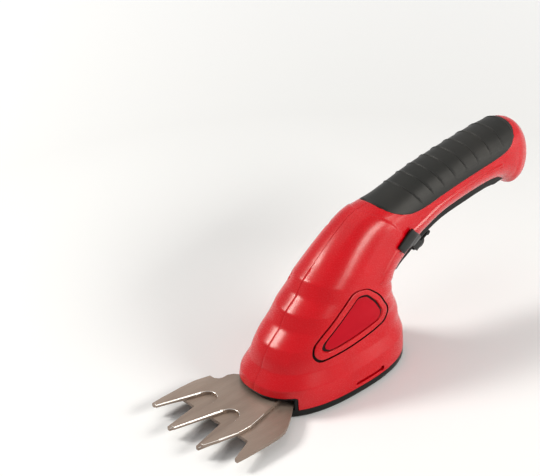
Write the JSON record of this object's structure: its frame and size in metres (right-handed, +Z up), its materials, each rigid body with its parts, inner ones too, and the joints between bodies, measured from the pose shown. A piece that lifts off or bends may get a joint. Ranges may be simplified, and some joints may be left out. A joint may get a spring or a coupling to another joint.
{
  "type": "cordless grass shears",
  "caption": "Hand-held battery grass shears: curved red body on a flat sole, black soft grip, long trigger lever and a toothed blade pair swung by a geared motor.",
  "frame": {"origin": "centre of the flat underside of the sole", "axes": "+X from the blades towards the handle, +Y to the tool's right-hand side seen from behind the blades, +Z up; the body is even about the XZ plane"},
  "size_m": [0.2762, 0.073, 0.113],
  "materials": {
    "red_shell": "satin red moulding",
    "badge_red": "darker red moulding",
    "soft_grip": "soft matt black overmould",
    "black_plastic": "matt black moulding",
    "grey_plastic": "glass filled moulding",
    "white_plastic": "natural acetal",
    "blade_steel": "ground hardened steel",
    "plated_steel": "zinc plated steel",
    "spring_steel": "drawn spring wire",
    "bronze": "sintered bronze or brass",
    "iron": "sintered or laminated iron",
    "cell_wrap": "shrink wrap over a steel can",
    "board_green": "lacquered laminate",
    "red_lens": "clear red lens"
  },
  "bodies": {
    "body": {"left_housing": "red_shell", "right_housing": "red_shell", "grip_cover": "soft_grip", "left_badge": "badge_red", "right_badge": "badge_red", "housing_screws": "plated_steel", "sole_plate": "black_plastic", "sole_screws": "plated_steel", "blade_holder": "black_plastic", "lower_blade": "blade_steel", "blade_rivets": "plated_steel", "blade_pivot": "plated_steel", "pivot_washer": "plated_steel", "latch_spring": "spring_steel", "gear_deck": "grey_plastic", "gear_plate": "grey_plastic", "frame_screws": "plated_steel", "output_bushes": "bronze", "idle_axle": "plated_steel", "motor_can": "plated_steel", "motor_cap": "black_plastic", "motor_bushes": "bronze", "motor_screws": "plated_steel", "motor_magnets": "iron", "battery_cell": "cell_wrap", "battery_tabs": "plated_steel", "battery_holder": "black_plastic", "switch_body": "black_plastic", "trigger_pin": "plated_steel", "trigger_spring": "spring_steel", "circuit_board": "board_green", "charge_socket": "black_plastic", "charge_light": "red_lens"},
    "blade": {"upper_blade": "blade_steel"},
    "crank": {"output_shaft": "plated_steel", "output_gear": "white_plastic", "crank_disc": "plated_steel", "crank_pin": "plated_steel"},
    "idler": {"idle_gear": "white_plastic"},
    "rotor": {"motor_shaft": "plated_steel", "motor_rotor": "iron", "motor_commutator": "bronze", "motor_pinion": "bronze"},
    "trigger": {"trigger_lever": "black_plastic"},
    "plunger": {"switch_plunger": "white_plastic"},
    "lock_off": {"lock_off_slider": "black_plastic"},
    "latch": {"blade_latch": "red_shell"}
  },
  "joints": [
    {"name": "blade_swing", "type": "hinge", "parent": "body", "child": "blade", "pos_m": [-0.024, 0, 0.0091], "axis": [0, 0, 1], "range_deg": [-2.1, 14.71]},
    {"name": "crank_spin", "type": "hinge", "parent": "body", "child": "crank", "pos_m": [0.002, 0, 0.018], "axis": [0, 0, 1], "continuous": true},
    {"name": "idler_spin", "type": "hinge", "parent": "body", "child": "idler", "pos_m": [0.01303, 0.00926, 0.022], "axis": [0, 0, 1], "continuous": true},
    {"name": "motor_spin", "type": "hinge", "parent": "body", "child": "rotor", "pos_m": [0.02067, 0, 0.04], "axis": [0, 0, 1], "continuous": true},
    {"name": "trigger_press", "type": "hinge", "parent": "body", "child": "trigger", "pos_m": [0.1439, 0, 0.07951], "axis": [0, 1, 0], "range_deg": [0, 2.6], "stiffness_Nm_per_rad": 3, "springref_deg": -1.72, "deforming": ["trigger_spring"]},
    {"name": "plunger_slide", "type": "slide", "parent": "body", "child": "plunger", "axis": [0, 0, 1], "range_m": [0, 0.0036]},
    {"name": "lock_off_slide", "type": "slide", "parent": "body", "child": "lock_off", "axis": [0.9184, 0, 0.3957], "range_m": [0, 0.004], "stiffness_N_per_m": 300, "springref_m": -0.003},
    {"name": "latch_slide", "type": "slide", "parent": "body", "child": "latch", "axis": [1, 0, 0], "range_m": [0, 0.0042], "stiffness_N_per_m": 400, "springref_m": -0.003, "deforming": ["latch_spring"]}
  ],
  "couplings": [
    {"joint": "idler_spin", "follows": "crank_spin", "ratio": -3},
    {"joint": "motor_spin", "follows": "crank_spin", "ratio": 9},
    {"joint": "plunger_slide", "follows": "trigger_press", "m_per_rad": 0.077392}
  ]
}
